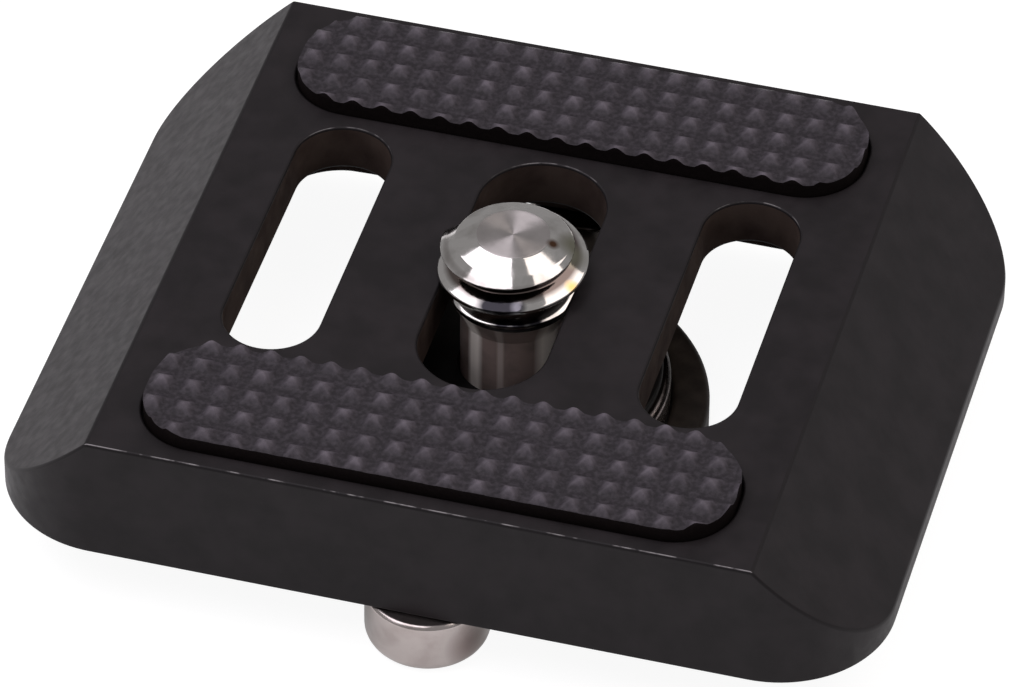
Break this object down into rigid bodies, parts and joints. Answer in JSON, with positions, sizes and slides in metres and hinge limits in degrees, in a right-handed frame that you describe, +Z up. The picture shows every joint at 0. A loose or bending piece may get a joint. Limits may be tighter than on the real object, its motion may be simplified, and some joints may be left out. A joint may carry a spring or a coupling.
{
  "type": "tripod quick release plate",
  "caption": "Short slotted dovetail plate with rubber grip pads, a captive camera screw with folding finger ring, and stop screws under both ends.",
  "frame": {"origin": "on the surface that the two stop screws stand on, below the middle of the plate and of the camera screw", "axes": "+X across the dovetail, +Y along the dovetail towards the rear pad, +Z up along the camera screw"},
  "size_m": [0.038, 0.0318, 0.0112],
  "materials": {
    "anodised_aluminium": "black anodised over a fine blasted surface, satin",
    "rubber": "moulded with small square pyramids, matte",
    "stainless_steel": "bright turned",
    "black_nylon": "smooth",
    "blackened_steel": "blackened, satin"
  },
  "bodies": {
    "plate": {"plate_body": "anodised_aluminium", "front_pad": "rubber", "rear_pad": "rubber", "front_stop_screw": "stainless_steel", "rear_stop_screw": "stainless_steel"},
    "washer": {"screw_washer": "black_nylon"},
    "screw": {"camera_screw": "stainless_steel"},
    "ring": {"finger_ring": "blackened_steel"}
  },
  "joints": [
    {"name": "screw_slide", "type": "slide", "parent": "plate", "child": "washer", "axis": [0, 1, 0], "range_m": [-0.0019, 0.0019]},
    {"name": "screw_turn", "type": "hinge", "parent": "washer", "child": "screw", "pos_m": [0, 0, 0.005], "axis": [0, 0, 1], "continuous": true},
    {"name": "ring_fold", "type": "hinge", "parent": "screw", "child": "ring", "pos_m": [0, 0, 0.00135], "axis": [0, 1, 0], "range_deg": [0, 180]}
  ]
}
